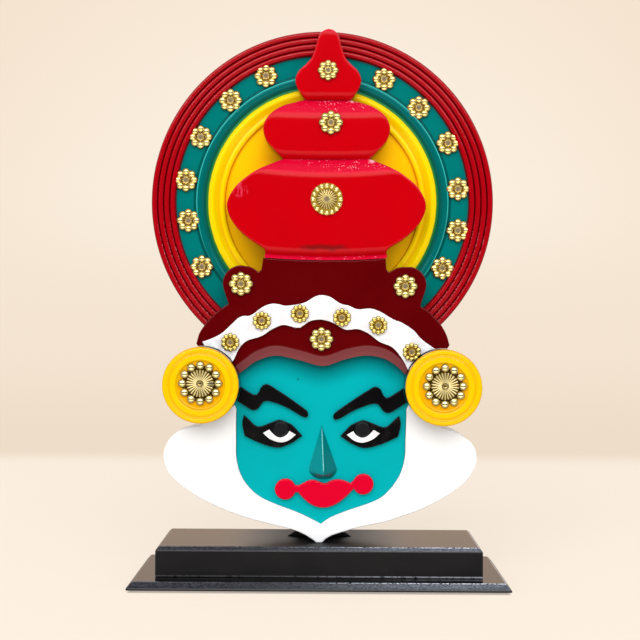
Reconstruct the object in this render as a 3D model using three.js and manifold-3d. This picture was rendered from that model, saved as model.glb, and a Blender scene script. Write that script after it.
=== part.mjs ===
import * as THREE from 'three';
import { mergeVertices } from 'three/addons/utils/BufferGeometryUtils.js';
import Module from 'manifold-3d';

const wasm = await Module();
wasm.setup();

// Kathakali mask on its stand: painted cut and turned boards, brass rosettes, a stepped black base.
// Millimetres, +Z up, the face looks along -Y, origin under the middle of the base.

// Stand
const BASE = { width: 222, depth: 83.6, height: 4.7, lip: 1.2, bevel: 3.1, centreY: 0 };
const PLINTH = { width: 192.4, depth: 62, height: 17.8, lip: 15.7, bevel: 2.1, centreY: 4.2 };
const PLINTH_TOP = BASE.height + PLINTH.height;
const POST = { width: 29, thickness: 12, height: 205, footWidth: 40, footHeight: 3.5 };

// Depths of the layers; a front is further toward -Y than its back
const BOARD_BACK = 8;
const BEARD_FRONT = -12;
const FACE_FRONT = -10.3;
const FACE_BACK = -4;
const HEADBOARD_FRONT = -18.5;
const CHAMFER_BACK = -13;
const BAND_FRONT = -21;
const EAR_FRONT = -30;
const GAP = 0.3;

// Cutting solids reach this far, past the mask on every side
const REACH = 150;

// The whole mask leans a third of a degree to the right on its stand
const LEAN = 0.0055;

// Halo: a turned disc, cut straight below where the beard board's hidden top takes over
const HALO = {
  x: -0.3,
  z: 204.5,
  radius: 103,
  dishRadius: 58.8,
  cutHeight: 125.3,
  rimFront: -8,
  tealFront: -5,
  beadFront: -6.9,
  dishFront: -2.5,
};
const RIDGE = { count: 4, width: 3.65, depth: 1.3 };
const HALO_STEPS = 52;

const EAR = { radius: 22.5, recess: 13.8, recessFront: -27.5 };
const EARS = { left: [-70.4, 94.9], right: [72, 94.1] };
const EAR_STEPS = 32;

const CROWN_BOTTOM = 170.3;
const CROWN_TOP = 307.4;

const TRIM = { thickness: 2.5, eyeWhite: 1, pupil: 1.4 };
const BOARD_STEP = 3.3;
const TRIM_STEP = 2.3;
const PUPIL_STEPS = 16;

const COLOURS = {
  black: 0x101012,
  red: 0xd0000e,
  teal: 0x007a73,
  face: 0x03b3ba,
  maroon: 0x650508,
  white: 0xf7f7f5,
  yellow: 0xfdce04,
  lips: 0xf00032,
  pupil: 0x262629,
  brass: 0xd9b04a,
};

const mask = new THREE.Group();

function addMesh(name, geometry, colour, roughness = 0.25, metalness = 0) {
  const material = new THREE.MeshStandardMaterial({ color: colour, roughness, metalness });
  const mesh = new THREE.Mesh(geometry, material);
  mesh.name = name;
  mask.add(mesh);
}

// Mask coordinates: x from the middle line, z above the tip of the beard
const place = (x, z) => new THREE.Vector2(x + LEAN * z, z + PLINTH_TOP);
const mirrored = (points, dx = 0, dz = 0) => points.map(([x, z]) => [dx - x, z + dz]).toReversed();

function arc(x, z, radius, fromDegrees, toDegrees, count = 8) {
  return Array.from({ length: count + 1 }, (_, index) => {
    const angle = THREE.MathUtils.degToRad(THREE.MathUtils.lerp(fromDegrees, toDegrees, index / count));
    return [x + radius * Math.cos(angle), z + radius * Math.sin(angle)];
  });
}

// An outline is a list of smooth curves, joined at corners by straight edges, anticlockwise from the front
function outline(curves, step = BOARD_STEP) {
  const points = curves.flatMap((knots) => {
    const placed = knots.map(([x, z]) => place(x, z));
    if (placed.length < 3) {
      return placed;
    }
    const curve = new THREE.SplineCurve(placed);
    return curve.getSpacedPoints(Math.ceil(curve.getLength() / step));
  });
  return points.filter((point, index) => point.distanceTo(points.at(index - 1)) > 0.05);
}

// The same outline moved outward by a distance
function grown(points, distance) {
  const outward = (from, to) => new THREE.Vector2(to.y - from.y, from.x - to.x).normalize();
  return points.map((point, index) => {
    const first = outward(points.at(index - 1), point);
    const second = outward(point, points[(index + 1) % points.length]);
    const reach = distance / Math.max(1 + first.dot(second), 0.5);
    return point.clone().addScaledVector(first.add(second), reach);
  });
}

function withoutSlivers(geometry) {
  const bare = geometry.index ? geometry.toNonIndexed() : geometry;
  bare.deleteAttribute('normal');
  bare.deleteAttribute('uv');
  const closed = mergeVertices(bare, 1e-4);
  const corners = Array.from(closed.index.array);
  const kept = [];
  for (let first = 0; first < corners.length; first += 3) {
    const [a, b, c] = corners.slice(first, first + 3);
    if (a !== b && b !== c && c !== a) {
      kept.push(a, b, c);
    }
  }
  closed.setIndex(kept);
  return closed;
}

function solid(geometry) {
  const closed = withoutSlivers(geometry);
  return new wasm.Manifold(new wasm.Mesh({
    numProp: 3,
    vertProperties: new Float32Array(closed.attributes.position.array),
    triVerts: new Uint32Array(closed.index.array),
  }));
}

function geometryOf(body) {
  const mesh = body.getMesh();
  const geometry = new THREE.BufferGeometry();
  geometry.setAttribute('position', new THREE.BufferAttribute(new Float32Array(mesh.vertProperties), 3));
  geometry.setIndex(new THREE.BufferAttribute(new Uint32Array(mesh.triVerts), 1));
  return geometry;
}

// A closed solid through rings of equal count, rear ring first, each { depth, points }
function loft(rings) {
  const count = rings[0].points.length;
  const corners = ({ depth, points }) => points.flatMap((point) => [point.x, depth, point.y]);
  const positions = rings.flatMap(corners);
  const index = [];
  for (let level = 0; level < rings.length - 1; level += 1) {
    for (let side = 0; side < count; side += 1) {
      const a = level * count + side;
      const b = level * count + ((side + 1) % count);
      index.push(a, b, b + count, a, b + count, a + count);
    }
  }
  const last = (rings.length - 1) * count;
  THREE.ShapeUtils.triangulateShape(rings[0].points, []).forEach(([a, b, c]) => index.push(a, c, b));
  THREE.ShapeUtils.triangulateShape(rings.at(-1).points, [])
    .forEach(([a, b, c]) => index.push(last + a, last + b, last + c));
  const geometry = new THREE.BufferGeometry();
  geometry.setAttribute('position', new THREE.Float32BufferAttribute(positions, 3));
  geometry.setIndex(index);
  return geometry;
}

// A board cut square along an outline
const board = (points, front, back) => loft([{ depth: back, points }, { depth: front, points }]);

// A turned piece has its axis along Y; its profile runs from the rear middle round to the front middle
function turned(profile, [x, z], steps) {
  const centre = place(x, z);
  const points = profile.map(([radius, depth]) => new THREE.Vector2(radius, depth)).toReversed();
  return new THREE.LatheGeometry(points, steps).translate(centre.x, 0, centre.y);
}

function box(x0, x1, y0, y1, z0, z1) {
  return new THREE.BoxGeometry(x1 - x0, y1 - y0, z1 - z0)
    .translate((x0 + x1) / 2, (y0 + y1) / 2, (z0 + z1) / 2);
}

// Base board and plinth block: a slab with a bevelled top edge, built lying back and stood up
function bevelledSlab({ width, depth, height, lip, bevel, centreY }, bottom) {
  const rectangle = (inset) => {
    const [x, y] = [width / 2 - inset, depth / 2 - inset];
    return [[-x, -y], [x, -y], [x, y], [-x, y]].map(([px, py]) => new THREE.Vector2(px, py - centreY));
  };
  const levels = [[height, bevel], [lip, 0], [0, 0]];
  const rings = levels.map(([rise, inset]) => ({ depth: bottom + rise, points: rectangle(inset) }));
  return loft(rings).rotateX(Math.PI / 2);
}

function addStand() {
  addMesh('base_board', bevelledSlab(BASE, 0), COLOURS.black);
  addMesh('plinth_block', bevelledSlab(PLINTH, BASE.height), COLOURS.black);
  const right = [[POST.footWidth / 2, 0], [POST.width / 2, POST.footHeight], [POST.width / 2, POST.height]];
  const post = outline([...right, ...mirrored(right)].map((point) => [point]));
  addMesh('back_post', board(post, BOARD_BACK, BOARD_BACK + POST.thickness), COLOURS.black);
}

// Halo disc: four rim ridges, a teal flat with a bead, a yellow ring and a shallow dish
const rimInner = HALO.radius - RIDGE.count * RIDGE.width;
const haloCentre = [HALO.x, HALO.z];

function haloProfile() {
  const groove = HALO.rimFront + RIDGE.depth;
  const ridges = Array.from({ length: RIDGE.count }, (_, ridge) => HALO.radius - ridge * RIDGE.width)
    .flatMap((outer) => [[outer, groove], [outer - RIDGE.width / 2, HALO.rimFront]]);
  const bead = [
    [76.8, HALO.tealFront],
    [75.4, -6.7],
    [73.2, HALO.beadFront],
    [70.8, -4.8],
    [68.9, HALO.tealFront],
  ];
  const ring = [[66, -6.3], [62.7, -4.6], [60.2, -4.9], [HALO.dishRadius, HALO.dishFront]];
  return [
    [0, BOARD_BACK],
    [HALO.radius, BOARD_BACK],
    ...ridges,
    [rimInner, groove],
    [rimInner - 0.4, HALO.tealFront],
    ...bead,
    ...ring,
    [0, HALO.dishFront],
  ];
}

// What lies below the top of the beard board, from the given depth backward
const underCut = (front) => solid(box(-REACH, REACH, front, REACH, 0, HALO.cutHeight + PLINTH_TOP));

function addHalo() {
  const disc = solid(turned(haloProfile(), haloCentre, HALO_STEPS)).subtract(underCut(-REACH));
  addMesh('halo_disc', geometryOf(disc), COLOURS.teal);
}

// What lies on the halo goes down to the dish and is stepped to clear the bead and the rim
const seatBack = HALO.dishFront - GAP;
const seatRadius = HALO.dishRadius - GAP;
const seatProfile = [
  [seatRadius, 0],
  [REACH, 0],
  [REACH, HALO.rimFront - GAP],
  [rimInner, HALO.rimFront - GAP],
  [rimInner, HALO.beadFront - GAP],
  [seatRadius, HALO.beadFront - GAP],
  [seatRadius, 0],
];
const haloSeat = solid(turned(seatProfile, haloCentre, HALO_STEPS));

// Beard board: white whiskers and chin; its top runs up hidden behind the head board
const beardCurves = [
  [
    [1.6, 0], [5.2, 3.1], [11, 5.5], [24, 9.3], [38.7, 12.5], [50.7, 16.4], [62.6, 21], [74.5, 27.4],
    [84, 34], [90.5, 41.2], [93.9, 50.2], [91.2, 59.5], [81.4, 66.9], [72.8, 69.8],
  ],
  [[69, 78]],
  [[67, 125]],
  [[-67, 125]],
  [[-69, 78]],
  [
    [-70.9, 70.5], [-83.7, 67.1], [-90.9, 60.9], [-93.9, 52], [-90.4, 41], [-80.1, 31.7], [-68, 24.4],
    [-50, 16.7], [-31.9, 11.5], [-19.9, 8.6], [-12.9, 6.6], [-6.3, 3.3], [-1.6, 0],
  ],
];

// Face plate: a flat plate let into a pocket of the beard board
const faceCurves = [
  [
    [0.8, 11.4], [6, 15], [15.4, 19], [33.5, 25.6], [41.5, 31.9], [47.8, 41.2], [50.5, 51.5], [50.8, 61.8],
    [51.3, 80],
  ],
  [[56, 92]],
  [[56, 119]],
  [[-56, 119]],
  [[-56, 92]],
  [
    [-50.3, 80], [-50.2, 61.3], [-49.8, 49.8], [-46.7, 39.5], [-40.5, 31.3], [-31.7, 25.4], [-13.3, 18.3],
    [-4.2, 14.1], [0.8, 11.4],
  ],
];

function addFaceBoards() {
  const face = outline(faceCurves);
  const pocket = solid(board(grown(face, GAP), BEARD_FRONT - 1, FACE_BACK + GAP));
  const beard = solid(board(outline(beardCurves), BEARD_FRONT, BOARD_BACK)).subtract(pocket);
  addMesh('beard_board', geometryOf(beard), COLOURS.white);
  addMesh('face_plate', board(face, FACE_FRONT, FACE_BACK), COLOURS.face);
}

// Ear discs: turned buttons with two rings round a recess, flat on the beard board
const earProfile = [
  [0, BEARD_FRONT],
  [EAR.radius, BEARD_FRONT],
  [EAR.radius, EAR_FRONT + 3],
  [EAR.radius - 0.8, EAR_FRONT + 0.8],
  [EAR.radius - 2.4, EAR_FRONT],
  [EAR.radius - 4.7, EAR_FRONT + 2.2],
  [EAR.radius - 6.8, EAR_FRONT + 0.7],
  [EAR.recess, EAR.recessFront],
  [0, EAR.recessFront],
];

// The head board, band and brows are scooped to clear the ear discs
const earScoops = Object.values(EARS).map(([x, z]) => {
  const centre = place(x, z);
  const radius = EAR.radius + GAP;
  const cylinder = new THREE.CylinderGeometry(radius, radius, 2 * REACH, EAR_STEPS);
  return solid(cylinder.translate(centre.x, 0, centre.y));
});
const clearOfEars = (body) => earScoops.reduce((rest, scoop) => rest.subtract(scoop), body);

function addEarDiscs() {
  for (const [side, centre] of Object.entries(EARS)) {
    addMesh(`ear_disc_${side}`, turned(earProfile, centre, EAR_STEPS), COLOURS.yellow);
  }
}

// Head board: neck, two round knobs, wings over the ears and a chamfered wavy edge over the brow
const CHAMFER_RISE = 5.8;
const NECK_TOP = CROWN_BOTTOM - GAP;
const browEdge = [
  [-52, 98.5], [-45, 104.2], [-38, 109], [-27, 112], [-12.3, 109.2], [1.4, 106], [14.6, 110.1], [27, 112.3],
  [38, 110.4], [46, 105.4], [53, 98],
];
const headCurves = (rise) => [
  browEdge.map(([x, z]) => [x, z + rise]),
  [[57, 100 + rise]],
  [[74.8, 116.6]],
  [[76.2, 118.8], [74.2, 125.2], [70.4, 131.6], [64, 138.3], [58.5, 142]],
  [...arc(51.2, 154.5, 10.8, -20, 80), [45.4, 164.8], [39.8, 162]],
  [[38.3, 163.6]],
  [[37.7, NECK_TOP]],
  [[-35, NECK_TOP]],
  [[-35.9, 163.4]],
  [[-37.5, 161.7], [-42.3, 164.7], ...arc(-48, 154.9, 10.8, 95, 200)],
  [[-55.3, 142.7], [-61, 138.8], [-67, 133], [-72.2, 125.7], [-74.2, 119]],
  [[-72.8, 117]],
  [[-56, 100 + rise]],
];

function addHeadBoard() {
  const ring = (depth, rise) => ({ depth, points: outline(headCurves(rise)) });
  const slab = loft([ring(seatBack, 0), ring(CHAMFER_BACK, 0), ring(HEADBOARD_FRONT, CHAMFER_RISE)]);
  const seated = solid(slab).subtract(haloSeat).subtract(underCut(BEARD_FRONT));
  addMesh('head_board', geometryOf(clearOfEars(seated)), COLOURS.maroon);
}

// White band: a scalloped strip laid on the head board, arched over the brow
const bandCurves = [
  [
    [-56, 104], [-51.6, 109.5], [-49.2, 115], [-44.5, 120.5], [-35.5, 123.6], [-30, 127.2], [-22.5, 130.3],
    [-13.3, 128.6], [-7.5, 132.3], [-0.7, 133.6], [7, 131.7], [14.2, 127.7], [21.5, 128.1], [28, 125.4],
    [34.5, 120.6], [42, 117.4], [48.1, 110.4], [52, 103],
  ],
  [[60, 103]],
  [
    [70, 115], [60.2, 121.6], [54, 128], [47, 132.3], [42.6, 133.9], [34.1, 138.8], [28.3, 140.4],
    [21.4, 139.8], [15.1, 142.5], [11.9, 142.7], [5, 147.1], [-0.8, 148.1], [-5.1, 146.7], [-10.5, 143.5],
    [-20.7, 141.8], [-28.1, 143], [-34.4, 141.2], [-41.8, 136], [-47.6, 135.3], [-52.5, 131.3],
    [-58.8, 125.4], [-65.2, 122], [-70.4, 120.2],
  ],
  [[-68, 116]],
];

function addBand() {
  const strip = solid(board(outline(bandCurves), BAND_FRONT, HEADBOARD_FRONT));
  addMesh('white_band', geometryOf(clearOfEars(strip)), COLOURS.white);
}

// Crown block: half outlines of the three tiers and the section of their rolls, both from below upward
const lowTier = [
  [36.3, 175], [45.4, 181.1], [52.5, 187.4], [57.1, 194.2], [58.9, 201], [57.3, 206.9], [52.5, 213.7],
  [44, 220.5], [35.5, 225.2], [26.4, 229.4],
];
const middleTier = [
  [26.6, 230.6], [30.9, 234.3], [35.7, 239.9], [37.7, 246.7], [36.3, 252.3], [32, 257.4], [25.2, 262],
  [14.6, 265],
];
const finial = [
  [14.4, 265.6], [17.4, 270], [19.4, 274.5], [19.4, 278], [17.5, 282.1], [13.6, 285.8], [10.2, 289.8],
  [7.8, 296.3], [6.4, 301.5], [4.4, 305.2], [0, 307.2],
];
const CROWN_FRONTS = { low: -21.5, middle: -18.5, finial: -16 };
const crownSection = [
  [CROWN_BOTTOM, -18.5], [172.6, -16.9], [173.4, -18.8], [175.4, -20.8], [179, CROWN_FRONTS.low],
  [216, CROWN_FRONTS.low], [220.5, -20.8], [224, -18.9], [229.6, -14.2], [230.5, -15.8], [232, -17.5],
  [235.5, CROWN_FRONTS.middle], [253.5, CROWN_FRONTS.middle], [257, -17.8], [260, -16], [265.2, -12.4],
  [266, -14], [267.3, -15.4], [270, CROWN_FRONTS.finial], [303, CROWN_FRONTS.finial], [CROWN_TOP, -15],
];

function addCrown() {
  const tiers = [
    { centre: 2.2, half: [[36.3, CROWN_BOTTOM]] },
    { centre: 2.2, half: lowTier },
    { centre: 1.9, half: middleTier },
    { centre: 2.6, half: finial },
  ];
  const right = tiers.map(({ centre, half }) => half.map(([dx, z]) => [centre + dx, z]));
  const left = tiers.map(({ centre, half }) => mirrored(half, centre)).toReversed();
  const front = board(outline([...right, ...left]), -REACH, seatBack);
  const profile = [[CROWN_TOP, seatBack], [CROWN_BOTTOM, seatBack], ...crownSection]
    .map(([z, depth]) => new THREE.Vector2(depth, z + PLINTH_TOP));
  const length = { depth: 2 * REACH, bevelEnabled: false };
  const acrossX = new THREE.Matrix4().set(0, 0, 1, -REACH, 1, 0, 0, 0, 0, 1, 0, 0, 0, 0, 0, 1);
  const rolls = new THREE.ExtrudeGeometry(new THREE.Shape(profile), length).applyMatrix4(acrossX);
  const block = solid(front).intersect(solid(rolls)).subtract(haloSeat);
  addMesh('crown_block', geometryOf(block), COLOURS.red);
}

// Brows, eyes and lips: flat plates on the face
const plateFront = FACE_FRONT - TRIM.thickness;
const plate = (curves) => board(outline(curves, TRIM_STEP), plateFront, FACE_FRONT);

const browCurves = [
  [
    [-52, 86], [-44.6, 81.3], [-41.1, 79.3], [-37.7, 79.8], [-36, 82], [-34.3, 84.2], [-31.5, 84.7],
    [-25.7, 83.1], [-18.8, 80.1], [-11.9, 76],
  ],
  [[-8.5, 74.8], [-7.1, 76.7], [-8.3, 79.2]],
  [
    [-20.6, 88], [-30.3, 94.1], [-33, 94.9], [-35.5, 93.5], [-37, 90.2], [-39.2, 88.2], [-43, 90.1],
    [-52, 96],
  ],
];
const eyeCurves = [
  [[-45.3, 63.8], [-38, 60.3], [-30.6, 57.7], [-23.7, 57], [-16.5, 60]],
  [[-10.7, 64]],
  [[-17, 70.6], [-23.9, 73.5], [-29, 72.1], [-35.9, 69.5], [-39.3, 70.3], [-42.8, 73.7], [-45.9, 76.2]],
  [[-46.8, 71]],
];
const PUPIL = { x: -23.7, z: 68.2, radius: 4.8, rounding: 0.8 };
const pupilProfile = [
  [0, plateFront],
  [PUPIL.radius, plateFront],
  [PUPIL.radius - PUPIL.rounding, plateFront - TRIM.pupil],
  [0, plateFront - TRIM.pupil],
];
const whiteCurves = [
  [[-34.3, 65.7], [-29.8, 62], [-23.9, 60.1], [-18.8, 61.4], [-14.6, 64.8]],
  [[-18.5, 67], [-20.1, 64.7], [-23.7, 63], [-27.3, 64.4], [-30.6, 67.8]],
];
const lipCurves = [
  [[-13, 30.2], [-8.5, 25.4], [-3.5, 22.2], [2.4, 21], [8.2, 22.4], [14, 26], [19.7, 31.7]],
  arc(26, 35.2, 6.2, 206, 516, 16),
  [
    [18.4, 35.8], [14.8, 37.3], [10.7, 38.1], [6.6, 37.2], [3.1, 35.5], [-1, 36.9], [-5.7, 37.6],
    [-12.3, 34.5],
  ],
  arc(-20.6, 32, 6.3, 22, 342, 16),
];

// The right brow and eye mirror the left ones, set a little apart from true
const toTheRight = (curves, dx, dz) => curves.map((curve) => mirrored(curve, dx, dz)).toReversed();

function addFeatures() {
  const sides = {
    left: { brow: browCurves, eye: eyeCurves, white: whiteCurves, pupilX: PUPIL.x },
    right: {
      brow: toTheRight(browCurves, 0.3, -1.3),
      eye: toTheRight(eyeCurves, 1.3, 0),
      white: toTheRight(whiteCurves, 1.3, 0.1),
      pupilX: 1.5 - PUPIL.x,
    },
  };
  for (const [side, { brow, eye, white, pupilX }] of Object.entries(sides)) {
    addMesh(`brow_${side}`, geometryOf(clearOfEars(solid(plate(brow)))), COLOURS.black);
    addMesh(`eye_${side}`, plate(eye), COLOURS.black);
    const crescent = board(outline(white, TRIM_STEP), plateFront - TRIM.eyeWhite, plateFront);
    addMesh(`eye_white_${side}`, crescent, COLOURS.white);
    addMesh(`pupil_${side}`, turned(pupilProfile, [pupilX, PUPIL.z], PUPIL_STEPS), COLOURS.pupil);
  }
  addMesh('lips', plate(lipCurves), COLOURS.lips);
}

// Nose: a pyramid from the brow down to a proud tip, with a short underside
const NOSE = {
  tip: [2.2, 41.6],
  height: 8.5,
  taper: 0.96,
  foot: [
    [0.7, 70.2], [-6.9, 45], [-6.6, 42.2], [-3.2, 38.9], [2.8, 37.7], [7.8, 39.2], [10.4, 42.8],
    [10.4, 45],
  ],
};

function addNose() {
  const foot = NOSE.foot.map(([x, z]) => place(x, z));
  const tip = place(...NOSE.tip);
  const crest = foot.map((point) => point.clone().lerp(tip, NOSE.taper));
  const rings = [{ depth: FACE_FRONT, points: foot }, { depth: FACE_FRONT - NOSE.height, points: crest }];
  addMesh('nose', loft(rings), COLOURS.face);
}

// Brass rosettes: a lobed cup built from rings of [radius share, height share, lobe depth share]
const SMALL_CUP = [[0.4, 0, 0], [1, 0.9, 0.13], [0.3, 0.5, 0]];
const ROUND_CUP = [[0.8, 0, 0], [1, 0.6, 0], [0.84, 1, 0.04], [0.3, 0.5, 0]];
const EAR_CUP = [
  [1, 0, 0.1], [0.97, 0.4, 0.1], [0.85, 0.75, 0.07], [0.68, 0.35, 0], [0.35, 0.85, 0], [0.1, 1, 0],
];

function rosette([x, z], back, { radius, height, lobes, cup }) {
  const centre = place(x, z);
  const count = lobes * 2;
  const rings = cup.map(([share, rise, depth]) => ({
    depth: back - rise * height,
    points: Array.from({ length: count }, (_, index) => {
      const angle = (index / count) * 2 * Math.PI + Math.PI / 2;
      const reach = radius * share * (index % 2 ? 1 - depth : 1);
      return new THREE.Vector2(centre.x + reach * Math.cos(angle), centre.y + reach * Math.sin(angle));
    }),
  }));
  return loft(rings);
}

const STUD = { radius: 7.1, height: 4.4, lobes: 8, cup: SMALL_CUP };
const FINIAL_STUD = { ...STUD, radius: 6.1 };
const BAND_STUD = { radius: 5.5, height: 3.2, lobes: 10, cup: SMALL_CUP };
const BIG_STUD = { radius: 9.5, height: 3, lobes: 12, cup: ROUND_CUP };
const EAR_STUD = { radius: 12.4, height: 5, lobes: 12, cup: EAR_CUP };

// Studs are set by hand, so each has its own place
const HALO_STUDS = {
  left: [[-35.1, 280.7], [-56.4, 265.8], [-74.2, 243.6], [-82.8, 217.6], [-81.1, 193.1], [-72.6, 165.2]],
  right: [[36.3, 279], [57.4, 261.9], [75.2, 240.6], [81.5, 212.9], [81.7, 187.8], [72.6, 165]],
};
const CROWN_STUDS = {
  finial: { at: [2.4, 281.9], front: CROWN_FRONTS.finial, stud: FINIAL_STUD },
  middle: { at: [4.4, 250.4], front: CROWN_FRONTS.middle, stud: STUD },
  large: { at: [2.4, 204.7], front: CROWN_FRONTS.low, stud: BIG_STUD },
};
const HEADBOARD_STUDS = { left: [-47.9, 154.6], right: [49.5, 153.6], brow: [0.1, 122.1] };
const EAR_STUDS = { left: [-70.5, 96], right: [72.6, 95.1] };
const BAND_STUDS = [
  [-53.7, 119.9], [-35.2, 132.8], [-12.8, 137.1], [12.1, 134.8], [33.6, 130.4], [53.5, 114.7],
];

function addRosettes() {
  const addStud = (name, at, back, kind) => addMesh(name, rosette(at, back, kind), COLOURS.brass, 0.3, 1);
  for (const [side, places] of Object.entries(HALO_STUDS)) {
    places.forEach((at, index) => addStud(`rosette_halo_${side}_${index + 1}`, at, HALO.tealFront, STUD));
  }
  for (const [name, { at, front, stud }] of Object.entries(CROWN_STUDS)) {
    addStud(`rosette_crown_${name}`, at, front, stud);
  }
  for (const [name, at] of Object.entries(HEADBOARD_STUDS)) {
    addStud(`rosette_head_${name}`, at, HEADBOARD_FRONT, STUD);
  }
  BAND_STUDS.forEach((at, index) => addStud(`rosette_band_${index + 1}`, at, BAND_FRONT, BAND_STUD));
  for (const [side, at] of Object.entries(EAR_STUDS)) {
    addStud(`rosette_ear_${side}`, at, EAR.recessFront, EAR_STUD);
  }
}

addStand();
addHalo();
addFaceBoards();
addEarDiscs();
addHeadBoard();
addBand();
addCrown();
addFeatures();
addNose();
addRosettes();

export default mask;
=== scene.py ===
import math

import bmesh
import bpy
from mathutils import Matrix, Vector


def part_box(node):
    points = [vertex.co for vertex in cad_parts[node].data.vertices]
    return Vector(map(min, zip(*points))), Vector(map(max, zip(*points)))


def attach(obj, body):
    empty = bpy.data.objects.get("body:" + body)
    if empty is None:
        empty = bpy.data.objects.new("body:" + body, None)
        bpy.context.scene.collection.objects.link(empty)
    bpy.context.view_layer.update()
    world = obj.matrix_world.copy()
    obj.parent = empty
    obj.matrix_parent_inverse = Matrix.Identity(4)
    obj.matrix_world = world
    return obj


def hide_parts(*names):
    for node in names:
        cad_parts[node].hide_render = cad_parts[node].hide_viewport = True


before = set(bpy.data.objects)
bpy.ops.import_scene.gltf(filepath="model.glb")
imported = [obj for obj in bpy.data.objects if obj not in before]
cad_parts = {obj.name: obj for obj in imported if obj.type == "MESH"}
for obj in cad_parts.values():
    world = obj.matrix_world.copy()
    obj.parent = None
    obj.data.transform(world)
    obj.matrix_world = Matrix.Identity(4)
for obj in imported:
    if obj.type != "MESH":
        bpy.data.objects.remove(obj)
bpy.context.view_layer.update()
scene = bpy.context.scene
scene.view_settings.view_transform = "Standard"

mm = 0.001
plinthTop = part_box("plinth_block")[1].z / mm   # the mask's own heights start here
lean = 0.0055                                  # the mask leans a little to the right


def place(x, z):
    return x + lean * z, z + plinthTop


def pieceName(node):
    first, *rest = node.split("_")
    return first + "".join(word.capitalize() for word in rest)


# Curves and outlines are in mm, seen from the front as (x, z)
def curve(points, step, sharp=(), closed=True):   # a smooth line through points, cornered at the sharp ones
    count = len(points)
    last = count if closed else count - 1
    line = []
    for index in range(last):
        follow = (index + 1) % count
        start, end = points[index], points[follow]
        chord = end - start
        slopes = []
        for knot in (index, follow):
            if knot in sharp or not closed and knot in (0, count - 1):
                slopes.append(chord)
                continue
            before, after = points[knot] - points[knot - 1], points[(knot + 1) % count] - points[knot]
            slopes.append((before + after) * chord.length / (before.length + after.length))
        pieces = max(1, round(chord.length / step))
        for part in range(pieces):
            t = part / pieces
            line.append(start * (2 * t ** 3 - 3 * t ** 2 + 1) + slopes[0] * (t ** 3 - 2 * t ** 2 + t)
                        + end * (3 * t ** 2 - 2 * t ** 3) + slopes[1] * (t ** 3 - t ** 2))
    return line if closed else line + [points[-1]]


def areaOf(loop):
    return sum(a.cross(b) for a, b in zip(loop, loop[1:] + loop[:1])) / 2


def frontLoops(node):                          # a CAD board's front outlines, anticlockwise, the longest first
    source = bmesh.new()
    source.from_mesh(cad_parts[node].data)
    bmesh.ops.remove_doubles(source, verts=source.verts, dist=1e-6)
    front = min(vert.co.y for vert in source.verts) + 1e-5
    flat = {face for face in source.faces if all(vert.co.y < front for vert in face.verts)}
    links = {}
    for edge in source.edges:
        if sum(face in flat for face in edge.link_faces) == 1:
            first, last = edge.verts
            links.setdefault(first, []).append(last)
            links.setdefault(last, []).append(first)
    loops = []
    while links:
        here, loop = next(iter(links)), []
        while here:
            loop.append(Vector((here.co.x / mm, here.co.z / mm)))
            here = next((vert for vert in links.pop(here) if vert in links), None)
        loops.append(loop if areaOf(loop) > 0 else loop[::-1])
    source.free()
    return sorted(loops, key=len, reverse=True)


def turnsOf(loop):                             # how far the outline turns at each point, in radians
    turns = []
    for index, here in enumerate(loop):
        before, after = here - loop[index - 1], loop[(index + 1) % len(loop)] - here
        turns.append(math.atan2(before.cross(after), before.dot(after)))
    return turns


def rounded(loop, corner=32, step=0.9):        # the loop as a curve, kept sharp where it turns hard
    sharp = [index for index, turn in enumerate(turnsOf(loop)) if abs(math.degrees(turn)) > corner]
    return curve(loop, step, sharp)


def inset(loop, distances):                    # the loop moved inward, or outward by distances below nought
    moved = []
    for index, here in enumerate(loop):
        before, after = here - loop[index - 1], loop[(index + 1) % len(loop)] - here
        first, last = (Vector((-side.y, side.x)).normalized() for side in (before, after))
        moved.append(here + (first + last) * distances[index] / max(1 + first.dot(last), 0.5))
    return moved


def roomFor(loop, radius):                     # a rounding's width at each point, less beside sharp tips
    tips = [(here, math.tan((math.pi - turn) / 2)) for here, turn in zip(loop, turnsOf(loop))
            if turn > math.radians(75)]
    return [min([radius] + [max(0.02, (point - tip).length * slope * 0.6) for tip, slope in tips])
            for point in loop]


# Meshes are in mm until they become a piece
def edgeRings(loop, front, radius, steps=3):   # (outline, depth) over a rounded front edge, from the wall inward
    room = roomFor(loop, radius)
    turns = [math.pi / 2 * step / steps for step in range(steps + 1)]
    return [(inset(loop, [width * (1 - math.cos(turn)) for width in room]), front + radius * (1 - math.sin(turn)))
            for turn in turns]


def bridged(bm, rings):                        # a skin over rings, returned as each ring's edges
    edges = []
    for outline, depth in rings:
        depths = depth if isinstance(depth, list) else [depth] * len(outline)
        verts = [bm.verts.new((x, y, z)) for (x, z), y in zip(outline, depths)]
        edges.append([bm.edges.new(pair) for pair in zip(verts, verts[1:] + verts[:1])])
    for first, last in zip(edges, edges[1:]):
        bmesh.ops.bridge_loops(bm, edges=first + last)
    return edges


def capped(bm, *rims):
    for rim in rims:
        bmesh.ops.contextual_create(bm, geom=rim)


def solid(rings):                              # a closed skin over rings
    bm = bmesh.new()
    edges = bridged(bm, rings)
    capped(bm, edges[0], edges[-1])
    return bm


def board(node, edge, rearEdge=0.3, grown=0):  # a flat board with the node's outline and rounded edges
    low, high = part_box(node)
    front, back = low.y / mm, high.y / mm
    loop = rounded(frontLoops(node)[0])
    loop = inset(loop, [-grown] * len(loop))
    rear = [(outline, front + back - depth) for outline, depth in edgeRings(loop, front, rearEdge)]
    return solid(rear[::-1] + edgeRings(loop, front, edge))


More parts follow.
